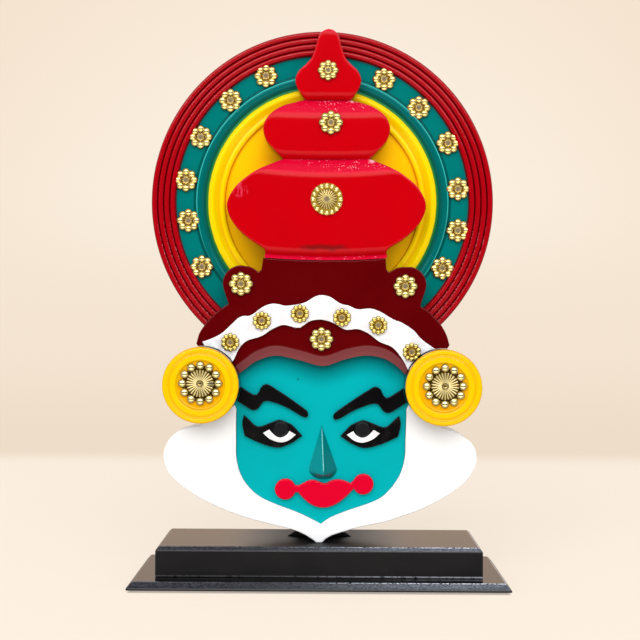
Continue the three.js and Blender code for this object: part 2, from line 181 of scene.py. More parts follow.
def eased(node, edge, least=35):               # a copy of a CAD node with its edges rounded
    bm = bmesh.new()
    bm.from_mesh(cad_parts[node].data)
    bmesh.ops.remove_doubles(bm, verts=bm.verts, dist=1e-6)
    bm.transform(Matrix.Scale(1 / mm, 4))
    bmesh.ops.dissolve_limit(bm, angle_limit=math.radians(0.3), verts=bm.verts, edges=bm.edges)
    edges = [line for line in bm.edges if line.is_manifold and math.degrees(line.calc_face_angle()) > least]
    bmesh.ops.bevel(bm, geom=edges, offset=edge, segments=3, profile=0.5, affect="EDGES", material=-1)
    return bm


def spun(profile, centre, steps):              # a turned piece on a Y axis, from (radius, depth) points
    x, z = place(*centre)
    bm = bmesh.new()
    verts = [bm.verts.new((x + radius, depth, z)) for radius, depth in profile]
    edges = [bm.edges.new(pair) for pair in zip(verts, verts[1:])]
    bmesh.ops.spin(bm, geom=verts + edges, cent=(x, 0, z), axis=(0, 1, 0), angle=math.tau,
                   steps=steps, use_merge=True)
    bmesh.ops.remove_doubles(bm, verts=bm.verts, dist=1e-4)
    return bm


def softened(points, step, sharp=()):          # a turned profile drawn as a curve through its points
    knots = [Vector(point) for point in points]
    return [tuple(point) for point in curve(knots, step, sharp, closed=False)]


def meshObject(bm, name):
    bm.normal_update()
    bmesh.ops.recalc_face_normals(bm, faces=bm.faces)
    mesh = bpy.data.meshes.new(name)
    bm.to_mesh(mesh)
    bm.free()
    mesh.transform(Matrix.Scale(mm, 4))
    thing = bpy.data.objects.new(name, mesh)
    scene.collection.objects.link(thing)
    return thing


def cut(thing, bm, joining=False):             # takes the solid in bm out, and joins overlapping shells if asked
    tool = meshObject(bm, "cutter")
    modifier = thing.modifiers.new("cut", "BOOLEAN")
    modifier.operation, modifier.solver, modifier.object = "DIFFERENCE", "EXACT", tool
    modifier.use_self = joining
    graph = bpy.context.evaluated_depsgraph_get()
    done = bpy.data.meshes.new_from_object(thing.evaluated_get(graph))
    thing.modifiers.clear()
    thing.data = done
    bpy.data.objects.remove(tool)


def addPiece(shape, node, material, crease=38):
    piece = shape if isinstance(shape, bpy.types.Object) else meshObject(shape, pieceName(node))
    piece.data.set_sharp_from_angle(angle=math.radians(crease))
    for face in piece.data.polygons:
        face.use_smooth = max(abs(part) for part in face.normal) < 0.9999
    piece.data.materials.clear()
    piece.data.materials.append(material)
    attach(piece, "root")
    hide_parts(node)


def tone(red, green, blue):                    # a screen colour as the shader wants it
    return [(part / 255 / 12.92 if part <= 10 else ((part / 255 + 0.055) / 1.055) ** 2.4)
            for part in (red, green, blue)] + [1]


class Wire:                                    # a socket that Python's signs work on
    def __init__(self, tree, socket):
        self.tree, self.socket = tree, socket

    def __add__(self, other):
        return self.tree.maths("ADD", self, other)

    def __sub__(self, other):
        return self.tree.maths("SUBTRACT", self, other)

    def __rsub__(self, other):
        return self.tree.maths("SUBTRACT", other, self)

    def __mul__(self, other):
        return self.tree.maths("MULTIPLY", self, other)

    def __rtruediv__(self, other):
        return self.tree.maths("DIVIDE", other, self)

    def __pow__(self, other):
        return self.tree.maths("POWER", self, other)

    def __abs__(self):
        return self.tree.maths("ABSOLUTE", self)

    __radd__, __rmul__ = __add__, __mul__


class Tree:                                    # a node tree that grows by plain calls
    def __init__(self, tree):
        self.nodes, self.links = tree.nodes, tree.links

    def node(self, kind, settings, inputs, out=0):
        node = self.nodes.new("ShaderNode" + kind)
        for key, value in settings.items():
            if key == "stops":
                elements = node.color_ramp.elements
                while len(elements) < len(value):
                    elements.new(0.5)
                for element, (position, colour) in zip(elements, value):
                    element.position, element.color = position, colour
            else:
                setattr(node, key, value)
        for key, value in inputs.items():
            if isinstance(value, Wire):
                self.links.new(value.socket, node.inputs[key])
            else:
                node.inputs[key].default_value = value
        return Wire(self, node.outputs[out])

    def maths(self, operation, *values):
        return self.node("Math", {"operation": operation}, dict(enumerate(values)))

    def smooth(self, value, low, high):        # 0 at low, 1 at high, soft between
        return self.node("MapRange", {"interpolation_type": "SMOOTHSTEP"},
                         {"Value": value, "From Min": low, "From Max": high})

    def mix(self, factor, first, second):      # sockets 6 and 7 take the colours, and output 2 gives one
        return self.node("Mix", {"data_type": "RGBA"}, {0: factor, 6: first, 7: second}, 2)

    def split(self, vector):
        parts = self.nodes.new("ShaderNodeSeparateXYZ")
        self.links.new(vector.socket, parts.inputs[0])
        return [Wire(self, socket) for socket in parts.outputs]


class Paint(Tree):                             # a material whose patterns are sized in mm
    def __init__(self, name, fixed):
        self.material = bpy.data.materials.new(name)
        self.material.use_nodes = True
        super().__init__(self.material.node_tree)
        self.shader = self.nodes["Principled BSDF"]
        for socket, value in fixed.items():
            self.shader.inputs[socket].default_value = value
        spot = self.node("TexCoord", {}, {}, "Object")
        self.spot = self.node("VectorMath", {"operation": "SCALE"}, {0: spot, "Scale": 1 / mm})
        self.x, self.y, self.z = self.split(self.spot)
        self.nx, self.ny, self.nz = self.split(self.node("NewGeometry", {}, {}, "Normal"))

    def noise(self, size, stretch=(1, 1, 1), detail=2):
        spot = self.node("Mapping", {}, {0: self.spot, "Scale": stretch})
        return self.node("TexNoise", {}, {"Vector": spot, "Scale": 1 / size, "Detail": detail}, "Fac")

    def wobble(self, size, amount):            # noise around nought, for uneven lines
        return (self.noise(size) - 0.5) * amount

    def specks(self, apart, size):             # small dots, about this far apart and this wide
        cell = self.node("TexVoronoi", {}, {"Vector": self.spot, "Scale": 1 / apart}, "Distance")
        return self.smooth(cell, size / apart, size / apart * 0.4)

    def away(self, x, z):                      # distance in mm from a place on the front
        return self.maths("SQRT", (self.x - x) ** 2 + (self.z - z) ** 2)

    def mark(self, x, z, radius, soft=0.5):    # a ragged spot on the front
        ragged = self.away(x, z) + self.wobble(radius * 0.6, radius)
        return self.smooth(ragged, radius * (1 + soft), radius * (1 - soft))

    def set(self, socket, value):
        self.links.new(value.socket, self.shader.inputs[socket])

    def finish(self, colour, roughness, height, strength, depth):   # the bumps' depth is in mm
        self.set("Base Color", colour)
        self.set("Roughness", roughness)
        self.set("Normal", self.node("Bump", {}, {"Strength": strength, "Distance": depth * mm,
                                                  "Height": height}, "Normal"))
        return self.material


print("stage, camera and lights")
studio = {
    "lens": 64.6875, "eye": (0.0026, -0.7007, 0.1559), "turn": -0.004, "roll": -0.005,
    "backdrop": (253, 240, 224), "corner": (245, 228, 208), "horizon": (244, 228, 209), "farFloor": (238, 221, 200),
    # the last colour on the next line is the painted contact shadow on the floor
    "floor": (255, 240, 220), "floorPatch": (250, 238, 223), "floorGlow": (255, 240, 224), "contact": (54, 48, 44),
    "floorNear": (-0.7, 0.66, 4), "floorFar": (0.66, 12, 24),   # front, back and width in m
    "keyPlace": (-0.25, -3, 2.2), "keyAim": (0, 0, 0.17), "keySize": (4, 3), "keyPower": 104,
    "keyColour": (0.985, 0.99, 1.0),
}


def buildCamera():
    ahead = Vector((math.sin(studio["turn"]), math.cos(studio["turn"]), 0))
    level = Vector((math.cos(studio["turn"]), -math.sin(studio["turn"]), 0))
    up = Vector((0, 0, 1))
    side = level * math.cos(studio["roll"]) - up * math.sin(studio["roll"])
    top = level * math.sin(studio["roll"]) + up * math.cos(studio["roll"])
    data = bpy.data.cameras.new("camera")
    data.lens, data.sensor_width = studio["lens"], 36
    camera = bpy.data.objects.new("camera", data)
    camera.matrix_world = Matrix((side, top, -ahead)).transposed().to_4x4()
    camera.location = studio["eye"]
    scene.collection.objects.link(camera)
    scene.camera = camera


def grey(value, warmth=0.02):
    return value * (1 + warmth), value, value * (1 - warmth), 1


def buildSky():                                # a light tent: its reflections are dark round the camera
    world = bpy.data.worlds.new("studio")
    scene.world = world
    world.use_nodes = True
    sky = Tree(world.node_tree)
    _, y, z = sky.split(sky.node("TexCoord", {}, {}, "Generated"))
    height = z * 0.5 + 0.5                     # 0 straight down, 0.5 level, 1 straight up
    seen = sky.mix(sky.smooth(y, 0.93, 1), tone(*studio["corner"]), tone(*studio["backdrop"]))
    seen = sky.mix(sky.smooth(z, 0.12, -0.01), seen, tone(*studio["horizon"]))
    front = sky.node("ValToRGB", {"stops": [
        (0.34, grey(1.7)), (0.385, grey(0.02)), (0.63, grey(0.02)), (0.67, grey(1)), (0.72, grey(5)), (0.85, grey(5)),
        (0.97, grey(1.6))]}, {0: height})
    back = sky.node("ValToRGB", {"stops": [
        (0.45, grey(0.25)), (0.5, (0.86, 0.61, 0.45, 1)), (0.62, (0.95, 0.7, 0.52, 1)), (0.7, grey(1.8)),
        (1, grey(0.9))]}, {0: height})
    shine = sky.mix(sky.smooth(y, -0.5, -0.66), grey(0.45), front)
    shine = sky.mix(sky.smooth(y, -0.05, 0.25), shine, back)
    glow = sky.mix(sky.smooth(y, 0.1, -0.5), grey(0.4, -0.06), grey(0.84, -0.04))
    glow = sky.mix(sky.smooth(z, 0.45, 0.9), glow, grey(0.78, -0.04))
    glow = sky.mix(sky.smooth(z, 0.05, -0.2) * sky.smooth(y, 0, -0.4), glow, grey(1.25, -0.02))
    rays = [sky.node("LightPath", {}, {}, kind) for kind in ("Is Glossy Ray", "Is Camera Ray")]
    light = sky.mix(rays[1], sky.mix(rays[0], glow, shine), seen)
    sky.links.new(light.socket, sky.nodes["Background"].inputs["Color"])


def buildKey():
    data = bpy.data.lights.new("key", "AREA")
    data.shape, data.energy = "RECTANGLE", studio["keyPower"]
    data.size, data.size_y = studio["keySize"]
    data.color = studio["keyColour"]
    lamp = bpy.data.objects.new("key", data)
    lamp.location = studio["keyPlace"]
    lamp.rotation_euler = (Vector(studio["keyAim"]) - lamp.location).to_track_quat("-Z", "Y").to_euler()
    lamp.visible_glossy = False
    scene.collection.objects.link(lamp)


def buildFloor():
    paint = Paint("paleFloor", {"Specular IOR Level": 0})
    soft, fine = paint.noise(300, detail=1), paint.noise(1.2)
    paint.finish(paint.mix(soft, tone(*studio["floor"]), tone(*studio["floorPatch"])), 0.9 + soft * 0.05,
                 fine, 0.05, 0.05)
    _, eyeY, eyeZ = (part / mm for part in studio["eye"])
    drop = eyeZ / (paint.y - eyeY)             # how far below the horizon the camera sees it
    far = paint.mix(paint.smooth(drop, 0.115, 0.01), tone(*studio["farFloor"]), tone(*studio["horizon"]))
    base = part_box("base_board")[1] / mm        # the painted contact shadow before the base ends where the base does
    outside = paint.maths("MAXIMUM", abs(paint.x) - base.x, abs(paint.y) - base.y)
    ahead = paint.smooth(paint.y, 1.8 - base.y, -base.y - 0.2) * paint.smooth(abs(paint.x), base.x - 0.5, base.x - 3)
    # painted contact shadow: a dark line on the floor just in front of the base
    contact = paint.smooth(outside, 6, 3) * ahead * 0.85
    near = paint.mix(contact, tone(*studio["floorGlow"]), tone(*studio["contact"]))
    end = studio["floorNear"][1] / mm
    edge = paint.smooth(paint.y, end - 140, end)
    glow = paint.node("Emission", {}, {"Color": paint.mix(edge, near, far)})
    paper = Wire(paint, paint.shader.outputs[0])
    mixed = paint.node("MixShader", {}, {0: edge * 0.4 + 0.6, 1: paper, 2: glow})
    paint.links.new(mixed.socket, paint.nodes["Material Output"].inputs["Surface"])
    floors = []
    for name in ("floorNear", "floorFar"):
        low, high, width = studio[name]
        bm = bmesh.new()
        bmesh.ops.create_grid(bm, size=0.5 / mm)
        bmesh.ops.scale(bm, vec=(width, high - low, 1), verts=bm.verts)
        bmesh.ops.translate(bm, vec=(0, (low + high) / 2 / mm, 0), verts=bm.verts)
        floors.append(meshObject(bm, name))
    floors[1].visible_diffuse = False          # it only carries the floor to the horizon
    for floor in floors:
        floor.visible_glossy = False           # the sky gives the reflections
        floor.data.materials.append(paint.material)


buildCamera()
buildSky()
buildKey()
buildFloor()


def timber(paint, colour, patches):            # the unpainted backs show plain wood
    grain = paint.noise(1.3, stretch=(1, 1, 0.07), detail=3)
    wood = paint.mix(paint.smooth(grain, 0.3, 0.7), tone(203, 167, 120), tone(158, 118, 76))
    bare = paint.smooth(paint.y + (patches - 0.5) * 0.5, 7.55, 7.85)
    return paint.mix(bare, colour, wood), bare


def enamel(name, colour, deep, wall, rough, raised=None, touches=(), backs=True, sheen=0, dull=None,
           lacquer=None, level=0.24):          # patchy brushed paint, with each touch painted over the last
    glint = [0.5 + 0.5 * part / max(colour) for part in colour] + [1]
    paint = Paint(name, {"Specular IOR Level": level, "Specular Tint": glint, "Coat Roughness": 0.05})
    patches = paint.noise(26, detail=3)
    peel = paint.noise(2.4, detail=1)
    strokes = paint.noise(1.2, stretch=(0.07, 1, 1))
    coat = paint.mix(paint.smooth(patches, 0.3, 0.7), tone(*colour), tone(*deep))
    # painted light: upward-facing surfaces take the raised colour, as if lit or shaded from above
    if raised:
        coat = paint.mix(paint.smooth(paint.nz, 0.12, 0.5), coat, tone(*raised))
    # painted shade: sides seen edge-on that don't face up take the wall colour (paler on the black plates, as a painted
    # reflection)
    paintedSideShading = paint.smooth(abs(paint.ny), 0.4, 0.1)
    coat = paint.mix(paintedSideShading * paint.smooth(paint.nz, 0.3, 0), coat, tone(*wall))
    for touch in touches:
        coat = touch(paint, coat)
    shine = rough + (patches - 0.5) * 0.04
    if sheen:
        shine = shine + paint.smooth(paint.nz, 0.05, 0.3) * sheen
    if dull:
        shine = shine + dull(paint)
    if lacquer:
        paint.set("Coat Weight", lacquer(paint))
    if backs:
        coat, bare = timber(paint, coat, patches)
        shine = shine + bare * 0.45
    return paint.finish(coat, shine, peel * 0.7 + strokes * 0.25, 0.07, 0.12)


def banded(paint, radius, bands):              # flat colours by distance: where each ends, its colour, how softly
    wobble = paint.wobble(5, 0.5)
    colour = tone(*bands[0][1])
    for (edge, _, soft), (_, follow, _) in zip(bands, bands[1:]):
        colour = paint.mix(paint.smooth(radius + wobble, edge - soft, edge + soft), colour, tone(*follow))
    return colour


print("stand")
stand = {"slabEdge": 0.75, "postEdge": 0.8}


def nearPost(paint):                           # the plinth's top is duller near the post
    return paint.smooth(abs(paint.x), 66, 6) * paint.smooth(paint.nz, 0.5, 0.7) * 0.42


def dustAndSheen(paint, coat):                         # speckled grey painted sheen on the bevels, brighter to the right, painted highlights on the top edges and along the base's foot, and grey dust specks
    bevel = paint.smooth(paint.nz, 0.4, 0.6) * paint.smooth(paint.nz, 0.9, 0.76)
    bevel = bevel * (paint.smooth(paint.z, -0.5, 3.4) * 0.7 + 0.3) * paint.smooth(paint.z, 0.5, 1.5)
    sheenSpeckle = paint.smooth(paint.noise(0.55, stretch=(0.5, 1, 1)), 0.36, 0.66)
    # painted light: the bevels' sheen is brighter towards the right
    side = paint.smooth(paint.x + paint.wobble(30, 50), -40, 85)
    bevelSheen = paint.mix(side, tone(30, 31, 35), tone(72, 75, 83))
    coat = paint.mix(bevel * 0.9, coat, paint.mix(sheenSpeckle, bevelSheen, paint.mix(side, tone(66, 68, 76), tone(124, 128, 138))))
    # painted highlight along the slabs' top front edges
    rim = paint.smooth(paint.nz, 0.8, 0.88) * paint.smooth(paint.nz, 0.985, 0.94)
    coat = paint.mix(rim * (side * 0.9 + 0.1) * paint.smooth(sheenSpeckle, 0.1, 0.6), coat, tone(236, 240, 250))
    # painted highlight: a bright line along the plinth's foot
    foot = paint.smooth(abs(paint.z - 5.4), 0.55, 0.4) * paint.smooth(paint.y, -26, -26.6)
    foot = foot * paint.smooth(paint.nz, 0.3, 0.1) * paint.smooth(paint.noise(3), 0.3, 0.5)
    coat = paint.mix(foot * (side * 0.7 + 0.12), coat, tone(168, 168, 176))
    return paint.mix(paint.specks(9, 0.3) * 0.5, coat, tone(120, 118, 116))


# painted shade: the stand's upward-facing tops and its sides are darker than its fronts
blackEnamel = enamel("blackEnamel", (30, 29, 30), (34, 32, 32), (20, 20, 22), 0.13, (16, 15, 18),
                     touches=(dustAndSheen,), backs=False, sheen=0.04, dull=nearPost)


def buildStand():
    for node in ("base_board", "plinth_block"):
        addPiece(eased(node, stand["slabEdge"], least=20), node, blackEnamel, 60)
    addPiece(eased("back_post", stand["postEdge"]), "back_post", blackEnamel, 60)


buildStand()

print("halo")
halo = {                                       # profiles are (radius, depth)
    "centre": (-0.3, 204.5), "radius": 103, "back": 8, "edge": 0.5, "cut": 125.3, "steps": 256,
    "ridges": 4, "ridgeWidth": 3.65, "crest": -8, "groove": -6.2, "ridgeSteps": 10, "flat": -5, "dish": -2.5,
    "bead": [(79, -5), (77, -5), (76.2, -6.4), (75.3, -6.95), (73.8, -7.05), (72.1, -6.3), (70.8, -4.8),
             (69.5, -4.9)],
    "ring": [(66.3, -6.3), (63.2, -4.6), (62.2, -4.6), (60.4, -5.2), (59, -4.6), (58.5, -2.5)],
    "seat": [(0, -2.8), (58.5, -2.8), (58.5, -7.2), (88.4, -7.2), (88.4, -8.3), (112, -8.3), (112, 14), (0, 14)],
    # painted groove shade: the narrow darker bands at the dish's edge, in the yellow ring's groove and at both feet of
    # the teal bead
    "bands": [(58.6, (255, 198, 0), 0.3), (59.3, (228, 166, 0), 0.3), (62, (240, 203, 0), 0.5),
              (63.4, (234, 178, 0), 0.5), (68.9, (240, 206, 0), 0.25), (70.2, (40, 116, 46), 0.35),
              (71.2, (0, 88, 70), 0.4), (76.8, (0, 98, 95), 0.3), (77.9, (0, 80, 78), 0.3),
              (88.3, (0, 111, 107), 0.12), (0, (160, 0, 13), 0)],
}


def haloBands(paint, coat):
    radius = paint.away(*place(*halo["centre"]))
    coat = banded(paint, radius, halo["bands"])
    # painted shadow of the crown's tiers on the yellow dish
    crownShadow = paint.maths("MAXIMUM", paint.mark(-38, 195, 8, 6), paint.mark(-29, 252, 4.5, 3.5))
    coat = paint.mix(crownShadow * paint.smooth(radius, 59, 58) * 0.55, coat, tone(160, 92, 0))
    half, inner = halo["ridgeWidth"] / 2, halo["radius"] - halo["ridges"] * halo["ridgeWidth"]
    # painted shade: dark lines in the grooves between the ridges and at their inner edge
    groove = paint.maths("PINGPONG", radius - inner, half)
    coat = paint.mix(paint.smooth(groove, 0.8, 0.1) * paint.smooth(radius, inner - 0.5, inner), coat, tone(98, 0, 8))
    ridgeGlintDots = paint.smooth(paint.maths("PINGPONG", radius - inner - 0.55, half), 0.3, 0.1)   # painted highlight: broken pink dots on the ridges' upward sides, just outside the grooves, low at both sides
    ridgeGlintDots = ridgeGlintDots * paint.smooth(radius, inner + 0.6, inner + 1.1)
    ridgeGlintDots = ridgeGlintDots * paint.smooth(abs(paint.x), 52, 66) * paint.smooth(paint.z, 222, 200)
    coat = paint.mix(ridgeGlintDots * paint.specks(1, 0.6) * 0.42, coat, tone(244, 150, 160))
    # painted highlight: a bright cyan line along the teal bead's crest, in the upper part and at the right
    where = paint.maths("MAXIMUM", paint.smooth(paint.z, 180, 235), paint.smooth(paint.x, 30, 70) * 0.7)
    crest = paint.smooth(abs(radius - 75.8), 0.45, 0.1) * where
    return paint.mix(crest * 0.8, coat, tone(62, 196, 190))


def haloLacquer(paint):                        # a clear coat draws a fine bright line on the upper ridges
    radius = paint.away(*place(*halo["centre"]))
    rings = paint.smooth(radius, 84, 86) * paint.smooth(paint.z, 180, 235)
    rings = rings * paint.smooth(paint.nz, 0.08, 0.2) * paint.smooth(paint.nz, 0.45, 0.3)
    return rings * paint.smooth(paint.noise(2.6), 0.3, 0.5) * 0.4


haloEnamel = enamel("haloEnamel", (0, 114, 108), (0, 111, 104), (139, 0, 10), 0.12, touches=(haloBands,),
                    lacquer=haloLacquer, level=0.14)


def haloProfile():
    half, edge = halo["ridgeWidth"] / 2, halo["edge"]
    profile = [(0, halo["back"]), (halo["radius"] - edge, halo["back"]), (halo["radius"], halo["back"] - edge)]
    for ridge in range(halo["ridges"]):
        middle = halo["radius"] - half * (1 + 2 * ridge)
        for step in range(halo["ridgeSteps"] + 1):
            turn = math.pi * step / halo["ridgeSteps"]
            rise = (halo["crest"] - halo["groove"]) * math.sin(turn)
            profile.append((middle + half * math.cos(turn), halo["groove"] + rise))
    inner = halo["radius"] - halo["ridges"] * halo["ridgeWidth"]
    turned = [(inner - 0.2, halo["flat"])] + halo["bead"] + halo["ring"]
    return profile + softened(turned, 0.5, (1, len(turned) - 2)) + [(0, halo["dish"])]


def buildHalo():
    bm = spun(haloProfile(), halo["centre"], halo["steps"])
    rim = bmesh.ops.bisect_plane(bm, geom=bm.verts[:] + bm.edges[:] + bm.faces[:], plane_no=(0, 0, -1),
                                 plane_co=(0, 0, halo["cut"] + plinthTop), clear_outer=True)["geom_cut"]
    capped(bm, [part for part in rim if isinstance(part, bmesh.types.BMEdge)])
    addPiece(bm, "halo_disc", haloEnamel, 40)


def haloSeat():                                # the hollow of whatever lies on the halo
    return spun(halo["seat"], halo["centre"], 128)


buildHalo()

print("beard and face")
face = {"beardEdge": 0.7, "pocketEdge": 0.35, "pocketFloor": -3.7, "plateEdge": 0.25, "plateGrown": 0.2}


def chips(paint, coat):                        # two small chips at the left
    chipped = paint.maths("MAXIMUM", paint.mark(-62.1, 177.9, 0.9), paint.mark(-73.2, 170.4, 0.8))
    return paint.mix(chipped * 0.8, coat, tone(196, 140, 134))


def lidShade(paint, coat):                     # the eyes' whites are grey in patches
    near = paint.smooth(paint.y, -13.2, -13.5) * paint.smooth(paint.noise(5), 0.4, 0.65)
    return paint.mix(near * 0.6, coat, tone(206, 200, 202))


def faceSpeck(paint, coat):                    # one small dark speck
    return paint.mix(paint.mark(-13.15, 120.3, 0.7) * 0.7, coat, tone(10, 88, 90))


def browShade(paint, coat):                    # the face darkens up under the head board
    brow = paint.maths("COSINE", (paint.x + 26.5) * 0.1159) * 3.1 + 131.4
    shade = paint.smooth(paint.z - brow, -15, 0.5) * paint.smooth(paint.y, -10, -10.2)
    return paint.mix(shade * 0.75, coat, tone(0, 84, 86))


def noseSideShade(paint, coat):                    # painted shade: the nose is darker on its sides and underneath
    near = paint.smooth(abs(paint.x - 2), 10, 9) * paint.smooth(paint.y, -10.5, -10.9)
    coat = paint.mix(paint.smooth(paint.nx, -0.15, -0.4) * near * 0.6, coat, tone(0, 104, 106))
    coat = paint.mix(paint.smooth(paint.nx, 0.15, 0.4) * near * 0.9, coat, tone(0, 104, 106))
    return paint.mix(paint.smooth(paint.nz, -0.2, -0.6) * near * 0.8, coat, tone(0, 88, 90))


def noseRidgeHighlight(paint, coat):                    # painted highlight: a bright line along the nose's ridge
    axis = (paint.z - 92.7) * -0.045 + 1.2
    ridge = paint.smooth(abs(paint.x - axis) + paint.wobble(0.8, 0.5), 0.34, 0.08)
    long = paint.smooth(paint.z, 65, 67) * paint.smooth(paint.z, 92, 88) * paint.smooth(paint.y, -10.5, -10.9)
    return paint.mix(ridge * long * 0.85, coat, tone(150, 232, 228))


# painted shade: the white pieces' sides that don't face up are grey-brown
beardWhite = enamel("beardWhite", (249, 249, 249), (247, 247, 247), (158, 148, 136), 0.16,
                    touches=(chips, lidShade))
faceTeal = enamel("faceTeal", (0, 168, 173), (0, 164, 169), (2, 88, 90), 0.14,
                  touches=(faceSpeck, browShade, noseSideShade, noseRidgeHighlight))


def buildBeard():
    low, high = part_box("beard_board")
    front, back = low.y / mm, high.y / mm
    outer, pocket = sorted((rounded(loop) for loop in frontLoops("beard_board")[:2]), key=areaOf, reverse=True)
    bm = bmesh.new()
    rear = [(outline, front + back - depth) for outline, depth in edgeRings(outer, front, 0.3)]
    shell = bridged(bm, rear[::-1] + edgeRings(outer, front, face["beardEdge"]))
    edge = face["pocketEdge"]
    turns = [math.pi / 2 * step / 3 for step in range(4)]
    lip = [(inset(pocket, [-edge * (1 - math.cos(turn))] * len(pocket)), front + edge * (1 - math.sin(turn)))
           for turn in turns]
    well = bridged(bm, [(pocket, face["pocketFloor"])] + lip)
    bmesh.ops.triangle_fill(bm, edges=shell[-1] + well[-1], use_beauty=True)
    capped(bm, shell[0], well[0])
    addPiece(bm, "beard_board", beardWhite)


buildBeard()
addPiece(board("face_plate", face["plateEdge"], grown=face["plateGrown"]), "face_plate", faceTeal)

print("ears")
ears = {
    "left": (-70.4, 94.9), "right": (72, 94.1), "radius": 22.5, "back": -12, "recess": -28.25, "steps": 128,
    "profile": [(22.5, -28.2), (22.35, -28.95), (21.8, -29.5), (21, -29.75), (20.1, -29.75), (19.6, -29.5),
                (19.2, -29.15), (18.8, -29.1), (18.4, -29.3), (18, -29.55), (17.4, -29.65), (15.6, -29.65),
                (15, -29.5), (14.5, -29.05), (14.1, -28.6), (13.6, -28.35), (12.8, -28.25), (12.1, -28.25)],
    # painted groove shade: the darker band from 17.7 to 18.9 mm lies over the rings' groove
    "bands": [(13.6, (236, 168, 0), 0.4), (14.4, (236, 180, 0), 0.4), (17.7, (238, 190, 0), 0.5),
              (18.9, (236, 175, 0), 0.4), (22.2, (238, 188, 0), 0.3), (0, (227, 161, 0), 0)],
}


def earBandsAndShade(paint, coat):
    radius = paint.maths("MINIMUM", paint.away(*place(*ears["left"])), paint.away(*place(*ears["right"])))
    coat = banded(paint, radius, ears["bands"])
    # painted shade: the discs' upward-facing parts are darker orange
    return paint.mix(paint.smooth(paint.nz, 0.1, 0.5) * 0.6, coat, tone(216, 146, 0))


def earSides(paint, coat):                     # the discs' walls and backs are black
    return paint.mix(paint.smooth(paint.y, -28.3, -27.9), coat, tone(10, 9, 8))


def earLacquer(paint):                         # a thin clear coat on the rings' upper sides
    return paint.smooth(paint.nz, 0.08, 0.2) * (paint.noise(8) * 0.3 + 0.1)


earYellow = enamel("earYellow", (234, 188, 0), (232, 183, 0), (227, 163, 0), 0.14,
                   touches=(earBandsAndShade, earSides), lacquer=earLacquer)


def buildEars():
    rear = [(0, ears["back"]), (ears["radius"], ears["back"])]
    profile = rear + softened(ears["profile"], 0.3) + [(0, ears["recess"])]
    for side in ("left", "right"):
        addPiece(spun(profile, ears[side], ears["steps"]), "ear_disc_" + side, earYellow)


buildEars()

print("head board and band")
head = {
    "brow": [(-52, 98.5), (-45, 104.2), (-38, 109), (-27, 112), (-12.3, 109.2), (1.4, 106), (14.6, 110.1),
             (27, 112.3), (38, 110.4), (46, 105.4), (53, 98)],
    "rightWing": [(76.2, 118.8), (74.2, 125.2), (70.4, 131.6), (64, 138.3), (58.5, 142)],
    "rightKnob": (51.2, 154.5, -20, 80), "rightNeck": [(45.4, 164.8), (39.8, 162)],
    "leftNeck": [(-37.5, 161.7), (-42.3, 164.7)], "leftKnob": (-48, 154.9, 95, 200), "knobRadius": 10.8,
    "leftWing": [(-55.3, 142.7), (-61, 138.8), (-67, 133), (-72.2, 125.7), (-74.2, 119)],
    "leftTip": (-56, 100), "leftCorner": (-72.8, 117), "leftNotch": (-35.9, 163.4),
    "rightTip": (57, 100), "rightCorner": (74.8, 116.6), "rightNotch": (38.3, 163.6),
    "neckTop": 170, "neckEnds": (37.7, -35), "sag": 1.4, "sagCentre": 2, "sagReach": 36,
    "front": -18.5, "chamfer": -14.3, "rise": 5.8, "back": -2.8, "edge": 0.6,
    "scoop": 22.8, "below": (300, 60, 200), "belowDepth": 18,
}


def chamfer(paint, coat):                      # painted reflection: the head board's downward-facing slope over the face is paler, as the floor below lights it
    return paint.mix(paint.smooth(paint.nz, -0.3, -0.5), coat, tone(140, 70, 72))


maroonEnamel = enamel("maroonEnamel", (86, 1, 4), (91, 3, 6), (77, 18, 19), 0.09, touches=(chamfer,))


def arc(x, z, start, end, count=14):
    turns = [math.radians(start + (end - start) * step / count) for step in range(count + 1)]
    return [(x + head["knobRadius"] * math.cos(turn), z + head["knobRadius"] * math.sin(turn)) for turn in turns]


def sagging(x, z):                             # the crown's foot and the neck under it dip in the middle
    return z - head["sag"] * max(0, 1 - ((x - head["sagCentre"]) / head["sagReach"]) ** 2)


def headOutline(rise):                         # smooth stretches joined at corners by straight edges
    def raised(*knots):
        return [(x, z + rise) for x, z in knots]

    start, end = head["neckEnds"]
    neck = [start + (end - start) * step / 24 for step in range(25)]
    stretches = [
        raised(*head["brow"]), raised(head["rightTip"]), [head["rightCorner"]], head["rightWing"],
        arc(*head["rightKnob"]) + head["rightNeck"], [head["rightNotch"]],
        [(x, sagging(x, head["neckTop"])) for x in neck], [head["leftNotch"]],
        head["leftNeck"] + arc(*head["leftKnob"]), head["leftWing"], [head["leftCorner"]], raised(head["leftTip"])]
    points = []
    for stretch in stretches:
        knots = [Vector(place(x, z)) for x, z in stretch]
        points += curve(knots, 0.9, closed=False) if len(knots) > 2 else knots
    return points


def headCutters():                             # it clears the halo, the beard's hidden top and the ears
    below = bmesh.new()
    bmesh.ops.create_cube(below, size=1)
    bmesh.ops.scale(below, vec=head["below"], verts=below.verts)
    middle = halo["cut"] + plinthTop - head["below"][2] / 2
    bmesh.ops.translate(below, vec=(0, head["belowDepth"], middle), verts=below.verts)
    scoops = [spun([(0, -40), (head["scoop"], -40), (head["scoop"], 20), (0, 20)], ears[side], 128)
              for side in ("left", "right")]
    return [haloSeat(), below] + scoops


def buildHeadBoard():
    front, edge = head["front"], head["edge"]
    rings = [(headOutline(0), head["back"]), (headOutline(0), head["chamfer"])]
    for share in (0, 0.3, 0.65, 1):            # over the front edge, at the top of the chamfer
        outline = headOutline(head["rise"] - edge * (1 - share))
        rings.append((inset(outline, roomFor(outline, edge * share ** 2 + 0.01)), front + edge * (1 - share) ** 2))
    piece = meshObject(solid(rings), "headBoard")
    for cutter in headCutters():
        cut(piece, cutter)
    addPiece(piece, "head_board", maroonEnamel)


buildHeadBoard()
addPiece(board("white_band", 0.5), "white_band", beardWhite)

